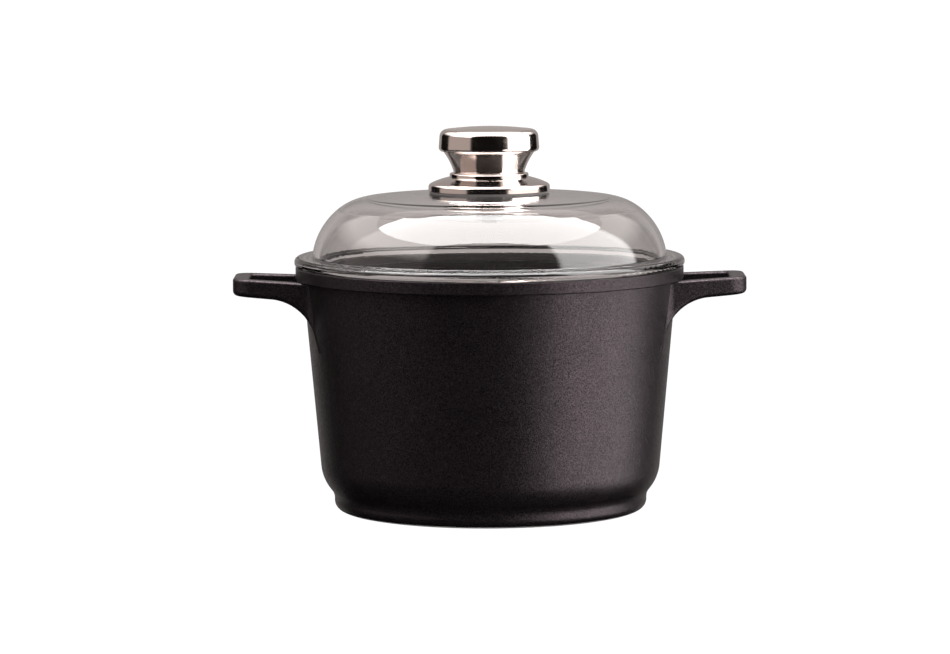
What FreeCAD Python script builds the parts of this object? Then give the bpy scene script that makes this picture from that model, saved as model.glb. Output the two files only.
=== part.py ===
import FreeCAD, Part
import math
import os

import Sketcher

# Deep cast-aluminium cooking pot with two cast-on loop handles, a pressed-glass dome lid and a
# spun stainless-steel knob. Millimetres, +Z up, origin on the pot's axis at the standing face.
# The two handles point along +X and -X. Every size that can be chosen is one row of SIZES;
# every size or place that follows from them is one row of PLACES.

TURNING_GROOVES = 4
LEAST_CUT = 1e-6            # mm3

SIZES = [
    # pot casting
    ("rim_bore", 240.0),            # width of the lid seat, the size the pot is sold by
    ("pot_height", 158.3),
    ("rim_width", 5.6),             # land on top of the rim
    ("rim_band_depth", 8.4),        # height of the thicker band round the rim
    ("rim_band_overhang", 4.6),     # how far the band stands out over the wall
    ("lid_seat_depth", 7.3),
    ("wall_thickness", 4.6),
    ("wall_draft", 5.18),           # degrees
    ("base_thickness", 10.0),
    ("floor_rounding", 16.0),
    ("foot_height", 10.6),
    ("foot_rise", 10.0),            # height of the sloping step above the foot
    ("foot_step", 7.9),             # how far the step widens the pot
    ("foot_edge_rounding", 5.9),
    ("foot_cove", 9.0),
    ("foot_shoulder", 27.0),
    ("rim_rounding", 0.9),
    ("base_dish_radius", 34.0),
    ("base_dish_depth", 0.8),
    ("turning_groove_width", 1.6),
    ("turning_groove_depth", 0.5),
    ("standing_ring_width", 8.0),   # last groove to the edge rounding of the foot
    ("cut_overrun", 5.0),           # how far the outline of a cut runs past the solid
    # loop handles
    ("handle_reach", 40.0),         # beyond the rim band
    ("handle_root_width", 68.0),
    ("handle_tip_width", 50.0),
    ("handle_arm_width", 7.0),
    ("handle_grip_width", 10.3),
    ("handle_thickness", 11.4),     # at the tip
    ("handle_lift", 0.25),          # top face above the band's underside, where they meet
    ("handle_rise", 2.9),           # degrees, top face
    ("handle_under_rise", 4.2),     # degrees, underside
    ("handle_corner", 13.0),
    ("handle_flare", 8.0),          # rounding of the arms into the wall
    ("flare_back", 7.7),
    ("flare_side", 13.0),
    ("slot_wall_overlap", 2.0),     # the slot's outline ends this far inside the wall
    ("slot_wall_corner", 5.0),
    ("slot_tip_corner", 4.0),
    ("bracket_inset", 2.6),
    ("bracket_rounding", 31.0),
    ("bracket_tail_back", 8.5),
    ("bracket_tail_drop", 31.5),
    ("handle_top_rounding", 1.8),
    ("handle_under_rounding", 3.0),
    # glass lid
    ("glass_thickness", 5.0),
    ("flange_overhang", 0.7),       # beyond the rim band
    ("flange_thickness", 6.0),
    ("flange_width", 11.8),         # outer edge to the foot of the dome
    ("flange_cove", 1.2),
    ("flange_top_rounding", 2.9),
    ("flange_under_rounding", 2.2),
    ("dome_foot_rise", 2.15),
    ("dome_side_radius", 45.4),
    ("dome_shoulder_radius", 35.0),
    ("dome_side_angle", 81.0),      # degrees from the axis, foot of the dome
    ("dome_turn_angle", 37.8),      # degrees, side arc to shoulder arc
    ("dome_crown_angle", 5.58),     # degrees, shoulder arc to crown
    ("lip_clearance", 1.2),         # lip to the bore of the seat
    ("lip_floor_clearance", 1.3),   # lip to the floor of the seat
    ("lip_rounding", 1.4),
    # knob
    ("knob_sheet", 1.0),
    ("knob_cap_width", 65.4),
    ("knob_cap_taper", 1.1),        # side of the cap leans in by this much
    ("knob_cap_depth", 14.4),
    ("knob_cap_rounding", 4.8),
    ("knob_rim_rounding", 2.6),
    ("knob_crown_rise", 1.7),
    ("knob_seam_inset", 2.95),       # cap side to the seam with the neck
    ("knob_flange_width", 0.27),    # seam to where the flange curls into the neck's wall
    ("knob_neck_height", 13.9),
    ("knob_neck_flare", 6.43),      # how much wider the neck is at its top
    ("knob_neck_sweep", 42.0),      # hollow curve of the neck's wall
    ("knob_curl_height", 1.0),      # from the end of the sweep to the underside of the flange
    ("knob_curl_reach", 0.65),
    ("knob_curl_rounding", 0.4),
    ("knob_waist_height", 1.3),
    ("knob_waist_rounding", 0.8),
    ("collar_lip_margin", 2.45),    # lip of the collar beyond the waist of the neck
    ("collar_lip_height", 2.5),
    ("collar_lip_rounding", 0.9),
    ("collar_flank_width", 13.75),   # lip to edge
    ("collar_flank_radius", 52.0),
    ("collar_height", 11.35),
    ("collar_edge_height", 3.9),
    ("collar_edge_rounding", 2.4),
    ("collar_bevel_width", 2.05),
    ("collar_bevel_height", 1.15),
    # fastening
    ("gasket_thickness", 1.4),      # under the collar's edge
    ("gasket_inset", 0.6),
    ("gasket_breadth", 7.1),
    ("bush_wall", 1.25),            # sleeve between the spacer tube and the glass
    ("bush_flange_width", 17.0),
    ("bush_flange_thickness", 1.8),
    ("bush_rounding", 0.8),
    ("bush_stand", 0.8),            # sleeve above the glass
    ("spacer_wall", 1.05),
    ("spacer_clearance", 0.05),
    ("screw_diameter", 5.0),
    ("screw_clearance", 0.15),      # round the screw, in the washers, spacer and neck
    ("screw_point", 0.6),
    ("screw_head_width", 9.7),
    ("screw_head_height", 3.2),
    ("screw_head_rounding", 1.2),
    ("screw_slot_width", 1.2),
    ("screw_slot_length", 5.6),
    ("screw_slot_depth", 1.8),
    ("under_washer_width", 19.4),
    ("under_washer_thickness", 1.2),
    ("lock_washer_width", 9.2),
    ("lock_washer_thickness", 1.2),
    ("lock_washer_gap", 1.0),
    ("insert_width", 13.0),
    ("insert_height", 11.0),
    ("insert_engagement", 8.0),
]

PLACES = [
    ("rim_outer", "rim_bore / 2 + rim_width"),
    ("band_low", "pot_height - rim_band_depth"),
    ("wall_top", "rim_outer - rim_band_overhang"),
    ("wall_slope", "tan(wall_draft)"),
    ("shoulder_low", "foot_height + foot_rise"),
    ("shoulder_reach", "wall_top - (band_low - shoulder_low) * wall_slope"),
    ("foot_reach", "shoulder_reach - foot_step"),
    ("seat_low", "pot_height - lid_seat_depth"),
    ("cavity_top", "wall_top + (seat_low - band_low) * wall_slope - wall_thickness"),
    ("cavity_floor", "wall_top - (band_low - base_thickness) * wall_slope - wall_thickness"),
    ("last_groove", "foot_reach - foot_edge_rounding - standing_ring_width - turning_groove_width"),
    ("cut_low", "-cut_overrun"),
    ("cut_high", "pot_height + cut_overrun"),
    # handles
    ("handle_tip", "rim_outer + handle_reach"),
    ("handle_top_slope", "tan(handle_rise)"),
    ("handle_under_slope", "tan(handle_under_rise)"),
    ("handle_tip_top", "band_low + handle_lift + handle_reach * handle_top_slope"),
    ("handle_tip_under", "handle_tip_top - handle_thickness"),
    ("handle_wall", "wall_top - (pot_height - handle_tip_under) * wall_slope"),
    ("arm_root", "sqrt(handle_wall ^ 2 - handle_root_width ^ 2 / 4)"),
    ("arm_slope", "(handle_root_width - handle_tip_width) / 2 / (handle_tip - arm_root)"),
    ("arm_breadth", "handle_arm_width * sqrt(1 + arm_slope ^ 2)"),
    ("slot_start", "handle_wall - slot_wall_overlap"),
    ("slot_end", "handle_tip - handle_grip_width"),
    ("slot_start_half", "handle_root_width / 2 - (slot_start - arm_root) * arm_slope - arm_breadth"),
    ("slot_end_half", "handle_root_width / 2 - (slot_end - arm_root) * arm_slope - arm_breadth"),
    ("root_end", "arm_root - flare_back"),
    ("handle_inside", "root_end - cut_overrun"),
    ("handle_inside_top", "handle_tip_top - (handle_tip - handle_inside) * handle_top_slope"),
    ("handle_beyond", "handle_tip + cut_overrun"),
    ("handle_beyond_top", "handle_tip_top + cut_overrun * handle_top_slope"),
    ("handle_beyond_under", "handle_tip_under + cut_overrun * handle_under_slope"),
    ("bracket_across", "wall_top - bracket_inset"),
    ("bracket_up", "handle_tip_under - (handle_tip - bracket_across) * handle_under_slope"),
    ("tail_across", "bracket_across - bracket_tail_back"),
    ("tail_up", "bracket_up - bracket_tail_drop"),
    # glass lid: three tangent arcs, laid out from the foot of the dome up
    ("flange_outer", "rim_outer + flange_overhang"),
    ("flange_top", "pot_height + flange_thickness"),
    ("dome_foot", "flange_outer - flange_width"),
    ("dome_foot_up", "flange_top + dome_foot_rise"),
    ("side_across", "dome_foot - dome_side_radius * sin(dome_side_angle)"),
    ("side_up", "dome_foot_up - dome_side_radius * cos(dome_side_angle)"),
    ("turn_across", "side_across + (dome_side_radius - dome_shoulder_radius) * sin(dome_turn_angle)"),
    ("turn_up", "side_up + (dome_side_radius - dome_shoulder_radius) * cos(dome_turn_angle)"),
    ("crown_reach", "turn_across + dome_shoulder_radius * sin(dome_crown_angle)"),
    ("crown_radius", "crown_reach / sin(dome_crown_angle)"),
    ("crown_up", "turn_up + dome_shoulder_radius * cos(dome_crown_angle)"
                 " - crown_radius * cos(dome_crown_angle)"),
    ("lid_top", "crown_up + crown_radius"),
    ("lip_outer", "rim_bore / 2 - lip_clearance"),
    ("lip_low", "seat_low + lip_floor_clearance"),
    ("lip_inner", "side_across + (dome_side_radius - glass_thickness) * sin(dome_side_angle)"
                  " + (dome_foot_up - lip_low) * cos(dome_side_angle)"),
    # fastening, from the screw outwards
    ("screw_radius", "screw_diameter / 2"),
    ("screw_passage", "screw_radius + screw_clearance"),
    ("spacer_outer", "screw_passage + spacer_wall"),
    ("spacer_seat", "spacer_outer + spacer_clearance"),
    ("glass_bore", "2 * (spacer_seat + bush_wall)"),
    # knob, from the side of the cap inwards
    ("cap_side", "knob_cap_width / 2"),
    ("cap_shoulder", "cap_side - knob_cap_taper"),
    ("cap_crown_end", "cap_shoulder - knob_cap_rounding"),
    ("cap_crown_radius", "(cap_crown_end ^ 2 + knob_crown_rise ^ 2) / 2 / knob_crown_rise"),
    ("knob_seam", "cap_side - knob_seam_inset"),
    ("neck_throat", "knob_seam - knob_flange_width"),
    ("neck_waist", "neck_throat - knob_neck_flare"),
    ("collar_lip", "neck_waist + collar_lip_margin"),
    ("collar_edge", "collar_lip + collar_flank_width"),
    ("gasket_outer", "collar_edge - gasket_inset"),
    ("gasket_inner", "gasket_outer - gasket_breadth"),
    # knob and fastening, levels up from the glass and then down
    ("collar_low", "crown_up + sqrt(crown_radius ^ 2 - collar_edge ^ 2) + gasket_thickness"),
    ("collar_edge_top", "collar_low + collar_edge_height"),
    ("collar_top", "collar_low + collar_height"),
    ("collar_step", "collar_top - collar_lip_height"),
    ("neck_low", "collar_top"),
    ("neck_top", "neck_low + knob_neck_height"),
    ("cap_top", "neck_top + knob_cap_depth"),
    ("knob_top", "cap_top + knob_crown_rise"),
    ("insert_low", "neck_low + knob_sheet"),
    ("insert_top", "insert_low + insert_height"),
    ("screw_tip", "insert_low + insert_engagement"),
    ("bush_top", "lid_top + bush_stand"),
    ("glass_under", "lid_top - glass_thickness"),
    ("bush_low", "glass_under - bush_flange_thickness"),
    ("washer_low", "bush_low - under_washer_thickness"),
    ("lock_low", "washer_low - lock_washer_thickness"),
    ("head_low", "lock_low - screw_head_height"),
]

doc = FreeCAD.newDocument("cooking_pot")


def fill_sheet(label, rows, formula):
    """One spreadsheet: a name and an aliased value on each line."""
    sheet = doc.addObject("Spreadsheet::Sheet", label)
    sheet.Label = label
    for line, (name, content) in enumerate(rows, start=1):
        sheet.set("A%d" % line, name)
        sheet.set("B%d" % line, formula(content))
        sheet.setAlias("B%d" % line, name)
    doc.recompute()
    return sheet


size_names = [name for name, _ in SIZES]
place_names = [name for name, _ in PLACES]


def bound(text, inside=""):
    """The expression with every named size pointed at the sheet that holds it."""
    words = []
    word = ""
    for letter in text + " ":
        if letter.isalnum() or letter == "_":
            word += letter
            continue
        if word in size_names:
            word = "<<Sizes>>." + word
        elif word in place_names and inside != "Places":
            word = "<<Places>>." + word
        words.append(word + letter)
        word = ""
    return "".join(words).strip()


sizes = fill_sheet("Sizes", SIZES, lambda number: str(number))
places = fill_sheet("Places", PLACES, lambda text: "=" + bound(text, "Places"))


def worth(text):
    """The number an expression has now."""
    return float(sizes.evalExpression(bound(text)))


class Outline:
    """A sketch made of closed loops. Each corner is (across, up) or (across, up, rounding), all
    as expressions; ("arc", radius, side) between two corners bends the side that joins them, to
    the left (side 1) or the right (side -1) of the way it is drawn."""

    def __init__(self, body, name, plane):
        self.sketch = body.newObject("Sketcher::SketchObject", name)
        support = next(item for item in body.Origin.OriginFeatures if item.Role == plane)
        self.sketch.AttachmentSupport = [(support, "")]
        self.sketch.MapMode = "FlatFace"

    def constrain(self, kind, *places):
        return self.sketch.addConstraint(Sketcher.Constraint(kind, *places))

    def bind(self, kind, places, text):
        number = self.constrain(kind, *places, worth(text))
        self.sketch.setExpression("Constraints[%d]" % number, bound(text))

    def pin(self, item, end, across, up):
        """Fixes a point of the sketch at two expressions; "0" puts it on the axis."""
        for kind, axis, text in (("DistanceX", -2, across), ("DistanceY", -1, up)):
            if text == "0":
                self.constrain("PointOnObject", item, end, axis)
            else:
                self.bind(kind, (-1, 1, item, end), text)

    def loop(self, steps):
        corners = [step for step in steps if step[0] != "arc"]
        bends = {}
        for index, step in enumerate(steps):
            if step[0] == "arc":
                bends[len([s for s in steps[:index] if s[0] != "arc"]) - 1] = step[1:]
        spots = [FreeCAD.Vector(worth(c[0]), worth(c[1]), 0) for c in corners]
        count = len(corners)

        # where each side starts and ends, short of its rounded corners
        starts = list(spots)
        ends = [spots[(i + 1) % count] for i in range(count)]
        for i, corner in enumerate(corners):
            if len(corner) == 3:
                back = (spots[i - 1] - spots[i]).normalize()
                ahead = (spots[(i + 1) % count] - spots[i]).normalize()
                reach = worth(corner[2]) / math.tan(back.getAngle(ahead) / 2)
                ends[i - 1] = spots[i] + back * reach
                starts[i] = spots[i] + ahead * reach

        sides = []
        for i in range(count):
            if i in bends:
                sides.append(self.bent_side(starts[i], ends[i], *bends[i]))
            else:
                item = self.sketch.addGeometry(Part.LineSegment(starts[i], ends[i]))
                sides.append((item, 1, 2))

        for i, corner in enumerate(corners):
            before, _, before_end = sides[i - 1]
            after, after_start, _ = sides[i]
            if len(corner) == 2:
                self.constrain("Coincident", before, before_end, after, after_start)
                self.pin(after, after_start, corner[0], corner[1])
            else:
                arc, first, last = self.rounding(ends[i - 1], starts[i], spots[i])
                self.constrain("Tangent", before, before_end, arc, first)
                self.constrain("Tangent", arc, last, after, after_start)
                self.bind("Radius", (arc,), corner[2])
                point = self.sketch.addGeometry(Part.Point(spots[i]), True)
                self.constrain("PointOnObject", point, 1, before)
                self.constrain("PointOnObject", point, 1, after)
                self.pin(point, 1, corner[0], corner[1])

    def add_arc(self, centre, first, last, turns_left):
        """An arc from first to last; returns its item and the ends that match them."""
        if not turns_left:
            first, last = last, first
        radius = (first - centre).Length
        begin = math.atan2(first.y - centre.y, first.x - centre.x)
        finish = math.atan2(last.y - centre.y, last.x - centre.x)
        if finish < begin:
            finish += 2 * math.pi
        circle = Part.Circle(centre, FreeCAD.Vector(0, 0, 1), radius)
        item = self.sketch.addGeometry(Part.ArcOfCircle(circle, begin, finish))
        return (item, 1, 2) if turns_left else (item, 2, 1)

    def bent_side(self, first, last, radius, side):
        middle = (first + last) * 0.5
        along = last - first
        across = FreeCAD.Vector(-along.y, along.x, 0).normalize()
        lift = math.sqrt(worth(radius) ** 2 - (along.Length / 2) ** 2)
        arc = self.add_arc(middle + across * (side * lift), first, last, side > 0)
        self.bind("Radius", (arc[0],), radius)
        return arc

    def rounding(self, first, last, spot):
        back = first - spot
        ahead = last - spot
        bisector = (back + ahead).normalize()
        half = back.getAngle(ahead) / 2
        centre = spot + bisector * (back.Length / math.cos(half))
        turns_left = back.cross(ahead).z < 0
        return self.add_arc(centre, first, last, turns_left)


def new_body(label):
    body = doc.addObject("PartDesign::Body", label)
    body.Label = label
    return body


def outlined(body, name, plane, loops):
    outline = Outline(body, name, plane)
    for steps in loops:
        outline.loop(steps)
    doc.recompute()
    return outline.sketch


def turned(body, name, loops, feature="Revolution"):
    """Loops in the XZ plane turned about Z, added to the body or, as a Groove, cut from it."""
    profile = outlined(body, name + "_profile", "XZ_Plane", loops)
    turn = body.newObject("PartDesign::" + feature, name)
    turn.Profile = profile
    turn.ReferenceAxis = (profile, ["V_Axis"])
    turn.Angle = 360
    doc.recompute()
    return turn


def disc_ring(label, inner, outer, low, high):
    """A plain flat ring: washer, sleeve or spacer."""
    body = new_body(label)
    turned(body, label + "_turn", [[(inner, low), (outer, low), (outer, high), (inner, high)]])
    return body


def pocketed(body, name, sketch, breadth=None):
    """A pocket both ways from its sketch, right through or of a given breadth."""
    before = body.Shape.Volume
    pocket = body.newObject("PartDesign::Pocket", name)
    pocket.Profile = sketch
    pocket.SideType = "Symmetric"
    if breadth is None:
        pocket.Type = "ThroughAll"
    else:
        pocket.setExpression("Length", bound(breadth))
    doc.recompute()
    if body.Shape.Volume > before - LEAST_CUT:
        raise RuntimeError(name + " cuts nothing")
    return pocket


def rounded(body, name, one_face, other_face, radius):
    """Fillets the tip feature's edges that join a face of one sort to a face of the other."""
    tip = body.Tip
    names = []
    for number, edge in enumerate(tip.Shape.Edges, start=1):
        faces = [f for f in tip.Shape.Faces if any(edge.isSame(side) for side in f.Edges)]
        if any(one_face(f) for f in faces) and any(other_face(f) for f in faces):
            names.append("Edge%d" % number)
    if not names:
        raise RuntimeError(name + " finds no edges")
    fillet = body.newObject("PartDesign::Fillet", name)
    fillet.Base = (tip, names)
    fillet.setExpression("Radius", bound(radius))
    doc.recompute()
    return fillet


# ---- pot casting ----------------------------------------------------------------------------

def pot_outside():
    """The turned outside of the pot as one solid block, before the cavity is taken out."""
    body = new_body("pot_outside")
    turned(body, "pot_outside_turn", [[
        ("0", "0"),
        ("foot_reach", "0", "foot_edge_rounding"),
        ("foot_reach", "foot_height", "foot_cove"),
        ("shoulder_reach", "shoulder_low", "foot_shoulder"),
        ("wall_top", "band_low"),
        ("rim_outer", "band_low", "rim_rounding"),
        ("rim_outer", "pot_height", "rim_rounding"),
        ("0", "pot_height"),
    ]])
    return body


def loop_handle():
    """One cast loop on +X: flat grip, two arms that flare into the wall, arched underside."""
    body = new_body("loop_handle")
    half = "handle_root_width / 2"
    outer = [
        ("root_end", "-(%s + flare_side)" % half),
        ("arm_root", "-" + half, "handle_flare"),
        ("handle_tip", "-handle_tip_width / 2", "handle_corner"),
        ("handle_tip", "handle_tip_width / 2", "handle_corner"),
        ("arm_root", half, "handle_flare"),
        ("root_end", half + " + flare_side"),
    ]
    finger_slot = [
        ("slot_start", "-slot_start_half", "slot_wall_corner"),
        ("slot_end", "-slot_end_half", "slot_tip_corner"),
        ("slot_end", "slot_end_half", "slot_tip_corner"),
        ("slot_start", "slot_start_half", "slot_wall_corner"),
    ]
    plan = outlined(body, "handle_plan", "XY_Plane", [outer, finger_slot])
    slab = body.newObject("PartDesign::Pad", "handle_slab")
    slab.Profile = plan
    slab.setExpression("Length", bound("pot_height"))
    doc.recompute()

    above = outlined(body, "handle_above", "XZ_Plane", [[
        ("handle_inside", "handle_inside_top"),
        ("handle_beyond", "handle_beyond_top"),
        ("handle_beyond", "cut_high"),
        ("handle_inside", "cut_high"),
    ]])
    pocketed(body, "top_face", above)
    below = outlined(body, "handle_below", "XZ_Plane", [[
        ("tail_across", "tail_up"),
        ("tail_across", "cut_low"),
        ("handle_beyond", "cut_low"),
        ("handle_beyond", "handle_beyond_under"),
        ("bracket_across", "bracket_up", "bracket_rounding"),
    ]])
    pocketed(body, "arched_underside", below)
    foot = outlined(body, "handle_foot", "XZ_Plane", [[
        ("handle_inside", "cut_low"),
        ("handle_beyond", "cut_low"),
        ("handle_beyond", "tail_up"),
        ("handle_inside", "tail_up"),
    ]])
    pocketed(body, "tail_end", foot)

    def normal_up(face):
        across = [(face.ParameterRange[i] + face.ParameterRange[i + 1]) / 2 for i in (0, 2)]
        return face.normalAt(*across).z

    def upright(face):
        """The outside of the arms and grip and the walls of the slot, not the buried root."""
        return abs(normal_up(face)) < 0.01 and face.CenterOfMass.x > worth("root_end") + 0.1

    def top(face):
        return normal_up(face) > 0.9

    def underside(face):
        return normal_up(face) < -0.1 and face.CenterOfMass.z > worth("tail_up") + 0.1

    rounded(body, "top_edges", top, upright, "handle_top_rounding")
    rounded(body, "underside_edges", underside, upright, "handle_under_rounding")
    return body


def pot_casting():
    outside = pot_outside()
    right = loop_handle()
    left = doc.addObject("Part::Mirroring", "opposite_handle")
    left.Source = right
    left.Normal = FreeCAD.Vector(1, 0, 0)
    blank = doc.addObject("Part::MultiFuse", "casting_blank")
    blank.Shapes = [outside, right, left]
    blank.Refine = True
    doc.recompute()

    body = new_body("pot_casting")
    body.BaseFeature = blank
    doc.recompute()
    turned(body, "cavity", [[
        ("0", "base_thickness"),
        ("cavity_floor", "base_thickness", "floor_rounding"),
        ("cavity_top", "seat_low", "rim_rounding"),
        ("rim_bore / 2", "seat_low", "rim_rounding"),
        ("rim_bore / 2", "pot_height - rim_rounding"),
        ("arc", "rim_rounding", -1),
        ("rim_bore / 2 + rim_rounding", "pot_height"),
        ("rim_bore / 2 + rim_rounding", "cut_high"),
        ("0", "cut_high"),
    ]], "Groove")

    def base_cut(start, end, depth):
        return [(start, "cut_low"), (end, "cut_low"), (end, depth), (start, depth)]

    cuts = [base_cut("0", "base_dish_radius", "base_dish_depth")]
    for groove in range(1, TURNING_GROOVES + 1):
        share = "(last_groove - base_dish_radius) * %d / %d" % (groove, TURNING_GROOVES)
        start = "base_dish_radius + " + share
        cuts.append(base_cut(start, start + " + turning_groove_width", "turning_groove_depth"))
    turned(body, "turned_base", cuts, "Groove")
    return body


# ---- glass lid ------------------------------------------------------------------------------

def on_arc(centre, radius, angle, part):
    """Expression for a point on one of the dome's arcs; part is 0 across or 1 up."""
    names = {"side": ("side_across", "side_up"), "turn": ("turn_across", "turn_up"),
             "crown": ("0", "crown_up")}[centre]
    return "%s + (%s) * %s(%s)" % (names[part], radius, ("sin", "cos")[part], angle)


def dome_points(inset):
    """The dome's four arc ends from foot to bore, moved in by the glass thickness or not."""
    def spot(centre, radius, angle):
        return tuple(on_arc(centre, radius + inset, angle, part) for part in (0, 1))
    return [
        spot("side", "dome_side_radius", "dome_side_angle"),
        spot("side", "dome_side_radius", "dome_turn_angle"),
        spot("turn", "dome_shoulder_radius", "dome_crown_angle"),
        ("glass_bore / 2", on_crown("glass_bore / 2", inset)),
    ]


def lid_glass():
    """Pressed glass: crown, shoulder and side arcs, flange on the rim, lip inside the seat."""
    outer = dome_points("")
    inner = dome_points(" - glass_thickness")
    body = new_body("lid_glass")
    turned(body, "glass_pressing", [[
        inner[3],
        ("arc", "crown_radius - glass_thickness", -1),
        inner[2],
        ("arc", "dome_shoulder_radius - glass_thickness", -1),
        inner[1],
        ("arc", "dome_side_radius - glass_thickness", -1),
        inner[0],
        ("lip_inner", "lip_low", "lip_rounding"),
        ("lip_outer", "lip_low", "lip_rounding"),
        ("lip_outer", "pot_height"),
        ("flange_outer", "pot_height", "flange_under_rounding"),
        ("flange_outer", "flange_top", "flange_top_rounding"),
        ("dome_foot + dome_foot_rise / tan(dome_side_angle)", "flange_top", "flange_cove"),
        outer[0],
        ("arc", "dome_side_radius", 1),
        outer[1],
        ("arc", "dome_shoulder_radius", 1),
        outer[2],
        ("arc", "crown_radius", 1),
        outer[3],
    ]])
    return body


# ---- knob -----------------------------------------------------------------------------------

def on_crown(across, inset=""):
    """How high the crown of the glass is at a distance from the axis, outside or inside."""
    return "crown_up + sqrt((crown_radius%s) ^ 2 - (%s) ^ 2)" % (inset, across)


def collar_gasket():
    """Silicone ring that the collar's edge stands on; its underside follows the glass."""
    body = new_body("collar_gasket")
    turned(body, "gasket_turn", [[
        ("gasket_inner", on_crown("gasket_inner")),
        ("arc", "crown_radius", -1),
        ("gasket_outer", on_crown("gasket_outer")),
        ("gasket_outer", "collar_low"),
        ("gasket_inner", "collar_low"),
    ]])
    return body


def hole_bush():
    """Silicone bush: a sleeve through the glass with a thick flange under it."""
    body = new_body("hole_bush")
    under = " - glass_thickness"
    turned(body, "bush_turn", [[
        ("spacer_seat", "bush_low"),
        ("bush_flange_width / 2", "bush_low", "bush_rounding"),
        ("bush_flange_width / 2", on_crown("bush_flange_width / 2", under)),
        ("arc", "crown_radius" + under, 1),
        ("glass_bore / 2", on_crown("glass_bore / 2", under)),
        ("glass_bore / 2", "bush_top"),
        ("spacer_seat", "bush_top"),
    ]])
    return body


def knob_collar():
    """Spun dish: upright edge, domed flank and a raised seat that the knob's neck stands on."""
    inside = " - knob_sheet"
    body = new_body("knob_collar")
    turned(body, "collar_turn", [[
        ("spacer_seat", "collar_top" + inside),
        ("collar_lip" + inside, "collar_top" + inside),
        ("collar_lip" + inside, "collar_step" + inside),
        ("arc", "collar_flank_radius" + inside, -1),
        ("collar_edge" + inside, "collar_edge_top - knob_sheet / 2"),
        ("collar_edge" + inside, "collar_low"),
        ("collar_edge", "collar_low"),
        ("collar_edge", "collar_edge_top", "collar_edge_rounding"),
        ("collar_edge - collar_bevel_width", "collar_edge_top + collar_bevel_height"),
        ("arc", "collar_flank_radius", 1),
        ("collar_lip", "collar_step"),
        ("collar_lip", "collar_top", "collar_lip_rounding"),
        ("spacer_seat", "collar_top"),
    ]])
    return body


def knob_neck():
    """Funnel-shaped shell: floor on the collar, hollow-curved wall, narrow flange at the top."""
    inside = " - knob_sheet"
    straight_end = "neck_low + knob_waist_height"
    sweep_end = "neck_top - knob_curl_height"
    sweep_reach = "neck_throat - knob_curl_reach"
    body = new_body("knob_neck")
    turned(body, "neck_turn", [[
        ("screw_passage", "neck_low"),
        ("neck_waist", "neck_low", "knob_waist_rounding"),
        ("neck_waist", straight_end),
        ("arc", "knob_neck_sweep", -1),
        (sweep_reach, sweep_end),
        ("neck_throat", "neck_top", "knob_curl_rounding"),
        ("knob_seam", "neck_top"),
        ("knob_seam", "neck_top + knob_sheet"),
        ("neck_throat" + inside, "neck_top + knob_sheet", "knob_curl_rounding"),
        (sweep_reach + inside, sweep_end + " + knob_sheet / 2"),
        ("arc", "knob_neck_sweep + knob_sheet", 1),
        ("neck_waist" + inside, straight_end),
        ("neck_waist" + inside, "insert_low"),
        ("screw_passage", "insert_low"),
    ]])
    return body


def knob_cap():
    """Drawn cap: low crown, rounded shoulder, upright side and a rim turned in to the neck."""
    inside = " - knob_sheet"
    rim_inside = "neck_top + knob_sheet"
    body = new_body("knob_cap")
    turned(body, "cap_turn", [[
        ("0", "knob_top" + inside),
        ("arc", "cap_crown_radius", -1),
        ("cap_crown_end", "cap_top" + inside),
        ("cap_shoulder" + inside, "cap_top" + inside, "knob_cap_rounding" + inside),
        ("cap_side" + inside, rim_inside, "knob_rim_rounding" + inside),
        ("knob_seam", rim_inside),
        ("knob_seam", "neck_top"),
        ("cap_side", "neck_top", "knob_rim_rounding"),
        ("cap_shoulder", "cap_top", "knob_cap_rounding"),
        ("cap_crown_end", "cap_top"),
        ("arc", "cap_crown_radius", 1),
        ("0", "knob_top"),
    ]])
    return body


def knob_screw():
    """Pan-head machine screw from below, with a cross slot in its head."""
    head = "screw_head_width / 2"
    body = new_body("knob_screw")
    turned(body, "screw_turn", [[
        ("0", "head_low"),
        (head, "head_low", "screw_head_rounding"),
        (head, "lock_low"),
        ("screw_radius", "lock_low"),
        ("screw_radius", "screw_tip - screw_point"),
        ("screw_radius - screw_point", "screw_tip"),
        ("0", "screw_tip"),
    ]])
    half_length = "screw_slot_length / 2"
    half_width = "screw_slot_width / 2"
    for name, wide, breadth in (("slot_along", half_length, "screw_slot_width"),
                                ("slot_across", half_width, "screw_slot_length")):
        profile = outlined(body, name + "_profile", "XZ_Plane", [[
            ("-(%s)" % wide, "head_low - cut_overrun"),
            (wide, "head_low - cut_overrun"),
            (wide, "head_low + screw_slot_depth"),
            ("-(%s)" % wide, "head_low + screw_slot_depth"),
        ]])
        pocketed(body, name, profile, breadth)
    return body


def lock_washer():
    """Split spring washer."""
    body = disc_ring("lock_washer", "screw_passage", "lock_washer_width / 2",
                     "lock_low", "washer_low")
    gap = outlined(body, "lock_gap_profile", "XZ_Plane", [[
        ("screw_radius", "lock_low - cut_overrun"),
        ("lock_washer_width", "lock_low - cut_overrun"),
        ("lock_washer_width", "washer_low + cut_overrun"),
        ("screw_radius", "washer_low + cut_overrun"),
    ]])
    pocketed(body, "lock_gap", gap, "lock_washer_gap")
    return body


def screw_rings():
    """The plain turned pieces that the screw passes through, and the nut it turns into."""
    return [
        disc_ring("spacer_tube", "screw_passage", "spacer_outer", "bush_low", "neck_low"),
        disc_ring("under_washer", "screw_passage", "under_washer_width / 2",
                  "washer_low", "bush_low"),
        disc_ring("knob_insert", "screw_radius", "insert_width / 2", "insert_low", "insert_top"),
    ]


def build_all():
    return [pot_casting(), lid_glass(), collar_gasket(), hole_bush(), knob_collar(), knob_neck(),
            knob_cap(), knob_screw(), lock_washer()] + screw_rings()


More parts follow.
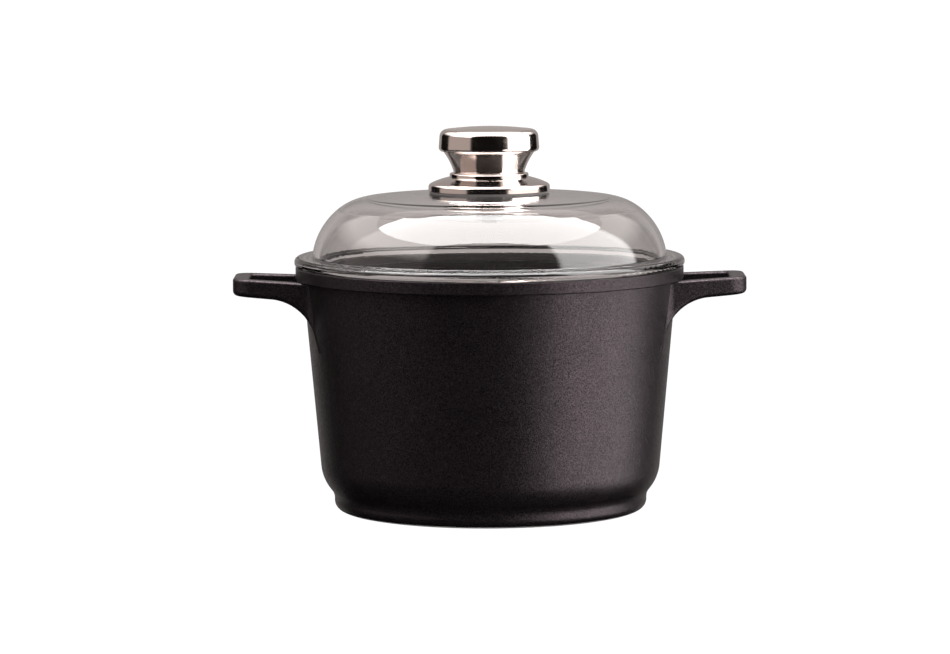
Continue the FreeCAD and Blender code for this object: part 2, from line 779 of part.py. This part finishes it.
def write_steps(bodies):
    """Checks every object, then writes one STEP file for each sub-part."""
    doc.recompute()
    for item in doc.Objects:
        if "Invalid" in item.State or "Error" in item.State:
            raise RuntimeError("%s is %s" % (item.Name, item.State))
    for body in bodies:
        if body.Shape.isNull() or not body.Shape.isValid() or len(body.Shape.Solids) != 1:
            raise RuntimeError("%s isn't one valid solid" % body.Label)
    os.makedirs("parts", exist_ok=True)
    for body in bodies:
        body.Shape.exportStep("parts/%s.step" % body.Label)
        print("%-16s %10.1f mm3" % (body.Label, body.Shape.Volume), body.Shape.BoundBox)


write_steps(build_all())
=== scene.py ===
import math

import bpy
from mathutils import Matrix, Vector


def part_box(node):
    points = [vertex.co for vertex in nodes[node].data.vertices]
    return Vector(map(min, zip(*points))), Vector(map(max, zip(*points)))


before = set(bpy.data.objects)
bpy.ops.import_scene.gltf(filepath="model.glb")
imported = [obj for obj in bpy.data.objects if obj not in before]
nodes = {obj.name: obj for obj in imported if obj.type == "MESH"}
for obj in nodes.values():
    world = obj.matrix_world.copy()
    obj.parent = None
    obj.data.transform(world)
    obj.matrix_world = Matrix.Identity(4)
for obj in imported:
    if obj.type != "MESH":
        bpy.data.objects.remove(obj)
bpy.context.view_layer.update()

# Cast pot with a pressed-glass lid and a polished knob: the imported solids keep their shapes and
# get their finishes here, in a small studio. Lengths are in metres and angles in degrees.

scene = bpy.context.scene

# ---- sizes and tones ------------------------------------------------------------------------

BARE_FACE_HEIGHT = 0.0012           # the coat ends this far above the face the pot stands on
SATIN_DEPTH = 0.0019                # the cap is satin from its top down to here, polished below
TURNED_RINGS = 9000.0               # radians per metre of radius, rings on the bare face
LATHE_LINES = 5200.0                # noise cells per metre of radius, satin grain

# What the studio's walls give off, seen only in reflections
GLOW = 10.0                         # the brightest tone on the round wall
DARK = (0.005, 0.0042, 0.004)
BACKGROUND = (0.40, 0.37, 0.36)
WARM = (0.54, 0.47, 0.44)
BRIGHT = (8.5, 8.3, 8.2)

# Round wall: azimuths go from the front towards +X
WALL_RADIUS = 2.2
WALL_BOTTOM, WALL_TOP = -0.85, 2.3
BACK_LEFT, BACK_RIGHT = -143, 144   # the background fills the rest, behind the pot
SIDE_LEFT, SIDE_RIGHT = -107, 107   # where the soft boxes end towards the back
FRONT_LEFT = -43                    # where the left soft box ends towards the front
BOX_EDGE = 4.0                      # a soft box fades out over this much

# Each band of the wall has the tone of its left box, the tone of its right box, the azimuth
# where the right box starts, and the tone between the boxes and the background.
FOOT_BAND = (DARK, BRIGHT, 38, DARK)
# These fade in over the band below, from the first height to the second.
UPPER_BANDS = [
    (-0.45, -0.20, (WARM, (1.65, 1.55, 1.50), 36, DARK)),
    (0.14, 0.42, (WARM, BRIGHT, 46, DARK)),
    (0.90, 1.50, ((5.0, 4.7, 4.55), (9.5, 9.3, 9.2), 46, (2.4, 2.25, 2.2))),
]

CEILING_HALF_WIDTH = 4.6
BACKDROP_RADIUS = 4.5
BACKDROP_BOTTOM, BACKDROP_TOP = -0.6, 5.5

CAMERA_PLACE = (-0.0096, -2.840, 0.409)
CAMERA_DROP = 5.8535                # how far it looks down
CAMERA_ROLL = -0.29                 # about its own line of sight
SENSOR_WIDTH = 36.0                 # mm
LENS = 166.8                        # mm


def grey(level):
    return (level, level, level)


# ---- node helpers ---------------------------------------------------------------------------

class Finish:
    """A material's node tree with short calls to add and join nodes."""

    def __init__(self, name):
        self.material = bpy.data.materials.new(name)
        self.material.use_nodes = True
        self.tree = self.material.node_tree
        self.shader = self.tree.nodes["Principled BSDF"]

    def add(self, kind, **values):
        node = self.tree.nodes.new("ShaderNode" + kind)
        for name, value in values.items():
            if hasattr(node, name):
                setattr(node, name, value)
            else:
                node.inputs[name.replace("_", " ")].default_value = value
        return node

    def join(self, source, target):
        self.tree.links.new(source, target)

    def drive(self, name, source):
        """Feeds one of the shader's sockets."""
        self.join(source, self.shader.inputs[name])

    def set(self, **values):
        for name, value in values.items():
            self.shader.inputs[name.replace("_", " ")].default_value = value

    def place(self):
        if not hasattr(self, "coordinates"):
            self.coordinates = self.add("TexCoord").outputs["Object"]
        return self.coordinates

    def noise(self, scale, detail=2.0, roughness=0.5):
        node = self.add("TexNoise", Scale=scale, Detail=detail, Roughness=roughness)
        self.join(self.place(), node.inputs["Vector"])
        return node.outputs["Fac"]

    def ramp(self, source, stops):
        """stops are (position, number or colour)."""
        node = self.add("ValToRGB")
        self.join(source, node.inputs["Fac"])
        elements = node.color_ramp.elements
        while len(elements) < len(stops):
            elements.new(0.5)
        for element, (position, value) in zip(elements, stops):
            element.position = position
            colour = grey(value) if isinstance(value, float) else value
            element.color = (*colour, 1.0)
        return node.outputs["Color"]

    def math(self, operation, first, second=0.0):
        node = self.add("Math", operation=operation)
        for socket, value in zip(node.inputs, (first, second)):
            if isinstance(value, float):
                socket.default_value = value
            else:
                self.join(value, socket)
        return node.outputs[0]

    def mix(self, factor, first, second, blend="MIX"):
        node = self.add("Mix", data_type="RGBA", blend_type=blend)
        for name, value in (("Factor", factor), ("A", first), ("B", second)):
            socket = next(s for s in node.inputs if s.name == name and s.enabled)
            if isinstance(value, (float, tuple)):
                socket.default_value = (*value, 1.0) if isinstance(value, tuple) else value
            else:
                self.join(value, socket)
        return next(s for s in node.outputs if s.enabled)

    def bump(self, height, distance, strength=1.0, after=None):
        node = self.add("Bump", Strength=strength, Distance=distance)
        self.join(height, node.inputs["Height"])
        if after is not None:
            self.join(after, node.inputs["Normal"])
        return node.outputs["Normal"]

    def axis(self, name):
        if not hasattr(self, "parts"):
            self.parts = self.add("SeparateXYZ")
            self.join(self.place(), self.parts.inputs[0])
        return self.parts.outputs[name]

    def radius(self):
        across = self.math("MULTIPLY", self.axis("X"), self.axis("X"))
        along = self.math("MULTIPLY", self.axis("Y"), self.axis("Y"))
        return self.math("SQRT", self.math("ADD", across, along))

    def dress(self, *names):
        for name in names:
            for slot in nodes[name].material_slots:
                slot.material = self.material


# ---- finishes -------------------------------------------------------------------------------

def coated_casting():
    """Dark non-stick coat with metal pigment; the face the pot stands on is bare turned metal."""
    binder = (0.0075, 0.0058, 0.0064)
    pigment = (0.0440, 0.0350, 0.0390)
    flake_tone = (0.075, 0.062, 0.068)
    bare_tone = (0.56, 0.55, 0.54)

    f = Finish("coated_casting")
    speckle = f.ramp(f.noise(1150.0, detail=3.0, roughness=0.7),
                     [(0.36, binder), (0.64, pigment)])
    cloud = f.ramp(f.noise(38.0, detail=4.0, roughness=0.6), [(0.30, 0.84), (0.70, 1.0)])
    coat = f.mix(1.0, speckle, cloud, "MULTIPLY")
    flake = f.add("TexVoronoi", Scale=3400.0, feature="F1")
    f.join(f.place(), flake.inputs["Vector"])
    bright = f.ramp(flake.outputs["Color"], [(0.86, 0.0), (0.98, 1.0)])
    coat = f.mix(bright, coat, flake_tone)

    bare = f.math("LESS_THAN", f.axis("Z"), BARE_FACE_HEIGHT)
    f.drive("Base Color", f.mix(bare, coat, bare_tone))
    f.drive("Metallic", f.mix(bare, grey(0.86), grey(0.75)))
    coat_roughness = f.ramp(f.noise(420.0, detail=3.0, roughness=0.6),
                            [(0.3, 0.31), (0.7, 0.42)])
    f.drive("Roughness", f.mix(bare, coat_roughness, grey(0.36)))
    f.set(Specular_IOR_Level=0.30)

    grain = f.bump(f.noise(1300.0, detail=3.0, roughness=0.65), distance=0.00016, strength=0.9)
    orange_peel = f.bump(f.noise(260.0), distance=0.00012, strength=0.35, after=grain)
    turned_rings = f.math("SINE", f.math("MULTIPLY", f.radius(), TURNED_RINGS))
    f.drive("Normal", f.bump(f.math("MULTIPLY", turned_rings, bare), distance=0.00003,
                             strength=0.6, after=orange_peel))
    f.dress("pot_casting")


def pressed_glass():
    """Clear soda-lime glass with the slight ripple that pressing leaves."""
    f = Finish("lid_glass")
    f.set(Base_Color=(0.985, 0.975, 0.970, 1.0), Roughness=0.0, IOR=1.5,
          Transmission_Weight=1.0)
    ripple = f.noise(9.0, detail=1.0, roughness=0.4)
    f.drive("Normal", f.bump(ripple, distance=0.0004, strength=0.03))
    f.dress("lid_glass")


def silicone():
    """Dark grey moulded rubber with a matt, slightly uneven face."""
    f = Finish("silicone")
    tone = f.ramp(f.noise(140.0, detail=3.0, roughness=0.6),
                  [(0.3, (0.085, 0.075, 0.072)), (0.7, (0.120, 0.108, 0.104))])
    f.drive("Base Color", tone)
    f.drive("Roughness", f.ramp(f.noise(600.0), [(0.3, 0.42), (0.7, 0.60)]))
    f.drive("Normal", f.bump(f.noise(900.0, roughness=0.6), distance=0.00006, strength=0.4))
    f.dress("collar_gasket", "hole_bush")


def polished_steel():
    """Mirror-polished stainless; the flat of the cap has a fine turned satin grain."""
    f = Finish("polished_steel")
    cap_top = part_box("knob_cap")[1].z
    on_top = f.math("GREATER_THAN", f.axis("Z"), cap_top - SATIN_DEPTH)
    lathe = f.add("TexNoise", Scale=1.0, Detail=4.0, Roughness=0.7)
    lines = f.add("CombineXYZ")
    f.join(f.math("MULTIPLY", f.radius(), LATHE_LINES), lines.inputs["X"])
    f.join(lines.outputs[0], lathe.inputs["Vector"])
    smear = f.ramp(f.noise(55.0, detail=5.0, roughness=0.65), [(0.35, 0.09), (0.72, 0.14)])
    satin = f.ramp(lathe.outputs["Fac"], [(0.3, 0.15), (0.7, 0.22)])
    f.drive("Roughness", f.mix(on_top, smear, satin))
    f.set(Base_Color=(0.68, 0.61, 0.575, 1.0), Metallic=1.0)
    fine = f.bump(f.noise(70.0), distance=0.00004, strength=0.12)
    f.drive("Normal", f.bump(f.math("MULTIPLY", lathe.outputs["Fac"], on_top),
                             distance=0.00003, strength=0.5, after=fine))
    f.dress("knob_cap", "knob_neck", "knob_collar")


def plain_steel(name, tone, roughness, *pieces):
    """Turned or stamped steel of the fastening, with uneven tone and sheen."""
    f = Finish(name)
    f.set(Metallic=1.0)
    f.drive("Base Color", f.ramp(f.noise(260.0, detail=4.0, roughness=0.6),
                                 [(0.3, tuple(0.82 * c for c in tone)), (0.7, tone)]))
    f.drive("Roughness", f.ramp(f.noise(900.0, detail=3.0, roughness=0.6),
                                [(0.3, roughness - 0.06), (0.7, roughness + 0.08)]))
    f.drive("Normal", f.bump(f.noise(2400.0, roughness=0.6), distance=0.00003, strength=0.4))
    f.dress(*pieces)


coated_casting()
pressed_glass()
silicone()
polished_steel()
plain_steel("plain_steel", (0.60, 0.59, 0.57), 0.30,
            "knob_screw", "spacer_tube", "under_washer", "knob_insert")
plain_steel("spring_steel", (0.30, 0.29, 0.28), 0.36, "lock_washer")


# ---- studio ---------------------------------------------------------------------------------

def stage_mesh(name, points, faces, material):
    mesh = bpy.data.meshes.new(name)
    mesh.from_pydata(points, [], faces)
    mesh.materials.append(material)
    item = bpy.data.objects.new(name, mesh)
    scene.collection.objects.link(item)
    return item


def reflected(item, behind_glass=False):
    """Studio wall pieces light nothing, and the camera looks past them."""
    item.visible_camera = False
    item.visible_diffuse = False
    item.visible_transmission = behind_glass
    item.visible_shadow = False


def glowing(name, strength):
    f = Finish(name)
    f.set(Base_Color=(0.0, 0.0, 0.0, 1.0), Specular_IOR_Level=0.0, Emission_Strength=strength)
    return f


def round_wall(name, radius, bottom, top, material, steps=90):
    points = []
    for i in range(steps):
        angle = math.tau * i / steps
        across, along = radius * math.sin(angle), radius * math.cos(angle)
        points += [(across, along, bottom), (across, along, top)]
    ring = [2 * i for i in range(steps)] + [0]
    faces = [(a, b, b + 1, a + 1) for a, b in zip(ring, ring[1:])]
    return stage_mesh(name, points, faces, material)


def azimuth_stops(left, right, right_start, flank):
    """Ramp stops for one band of the round wall, once round it from the back."""
    edges = (-180, BACK_LEFT, SIDE_LEFT, FRONT_LEFT, right_start, SIDE_RIGHT, BACK_RIGHT, 180)
    tones = (BACKGROUND, flank, left, DARK, right, flank, BACKGROUND)
    stops = []
    for start, end, tone in zip(edges, edges[1:], tones):
        colour = tuple(c / GLOW for c in tone)
        stops += [((start + BOX_EDGE / 2 + 180.0) / 360.0, colour),
                  ((end - BOX_EDGE / 2 + 180.0) / 360.0, colour)]
    return stops


def surroundings():
    """Round wall with a warm soft box on the left and a white one on the right."""
    f = glowing("studio_wall", GLOW)
    azimuth = f.math("ARCTAN2", f.axis("X"), f.math("MULTIPLY", f.axis("Y"), -1.0))
    turn = f.math("ADD", f.math("DIVIDE", azimuth, math.tau), 0.5)
    span = WALL_TOP - WALL_BOTTOM
    height = f.math("DIVIDE", f.math("SUBTRACT", f.axis("Z"), WALL_BOTTOM), span)
    tone = f.ramp(turn, azimuth_stops(*FOOT_BAND))
    for start, end, band in UPPER_BANDS:
        fade = f.ramp(height, [((start - WALL_BOTTOM) / span, 0.0),
                               ((end - WALL_BOTTOM) / span, 1.0)])
        tone = f.mix(fade, tone, f.ramp(turn, azimuth_stops(*band)))
    f.drive("Emission Color", tone)
    reflected(round_wall("studio_wall", WALL_RADIUS, WALL_BOTTOM, WALL_TOP, f.material))


def ceiling(name, front, back, front_height, back_height, tone, strength):
    """Glowing panel overhead; front and back are its edges along Y."""
    f = glowing(name, strength)
    f.set(Emission_Color=(*tone, 1.0))
    side = CEILING_HALF_WIDTH
    points = [(-side, front, front_height), (side, front, front_height),
              (side, back, back_height), (-side, back, back_height)]
    reflected(stage_mesh(name, points, [(0, 1, 2, 3)], f.material))


def backdrop():
    """Grey paper far round the pot; it shows only through the glass."""
    f = glowing("backdrop", 1.0)
    f.set(Emission_Color=(0.44, 0.405, 0.395, 1.0))
    item = round_wall("backdrop", BACKDROP_RADIUS, BACKDROP_BOTTOM, BACKDROP_TOP, f.material)
    reflected(item, behind_glass=True)
    item.visible_glossy = False


surroundings()
ceiling("overhead_box", front=-2.2, back=1.2, front_height=3.0, back_height=3.0,
        tone=(1.0, 0.985, 0.975), strength=13.0)
ceiling("rear_box", front=1.2, back=2.3, front_height=3.0, back_height=2.3,
        tone=(1.0, 0.90, 0.86), strength=1.3)
backdrop()


def area_light(name, place, target, width, height, power):
    """Soft light that shows neither itself nor its mirror image."""
    data = bpy.data.lights.new(name, "AREA")
    data.shape = "RECTANGLE"
    data.size = width
    data.size_y = height
    data.energy = power
    item = bpy.data.objects.new(name, data)
    item.location = place
    item.rotation_euler = (Vector(target) - Vector(place)).to_track_quat("-Z", "Y").to_euler()
    item.visible_camera = False
    item.visible_glossy = False
    item.visible_transmission = False
    scene.collection.objects.link(item)


middle = (0.0, 0.0, 0.10)
area_light("key", (1.9, -1.7, 0.9), middle, width=1.2, height=1.4, power=34.0)
area_light("fill", (-1.9, -1.7, 0.9), middle, width=1.2, height=1.4, power=12.0)
area_light("overhead", (0.0, 0.3, 2.2), middle, width=2.0, height=2.0, power=42.0)

# The white air lights the pot and is the picture's white. Reflections and the view through the
# glass meet the studio's walls and the backdrop in its place.
world = bpy.data.worlds.new("studio_air")
world.use_nodes = True
air = world.node_tree.nodes["Background"]
air.inputs["Color"].default_value = (1.0, 1.0, 1.0, 1.0)
air.inputs["Strength"].default_value = 1.05
scene.world = world
world.cycles_visibility.glossy = False
world.cycles_visibility.transmission = False

# ---- camera ---------------------------------------------------------------------------------

camera = bpy.data.objects.new("camera", bpy.data.cameras.new("camera"))
camera.data.lens = LENS
camera.data.sensor_width = SENSOR_WIDTH
camera.data.clip_end = 100.0
look = Matrix.Rotation(math.radians(90.0 - CAMERA_DROP), 4, "X")
roll = Matrix.Rotation(math.radians(CAMERA_ROLL), 4, "Z")
camera.matrix_world = Matrix.Translation(CAMERA_PLACE) @ look @ roll
scene.collection.objects.link(camera)
scene.camera = camera
scene.view_settings.view_transform = "Standard"
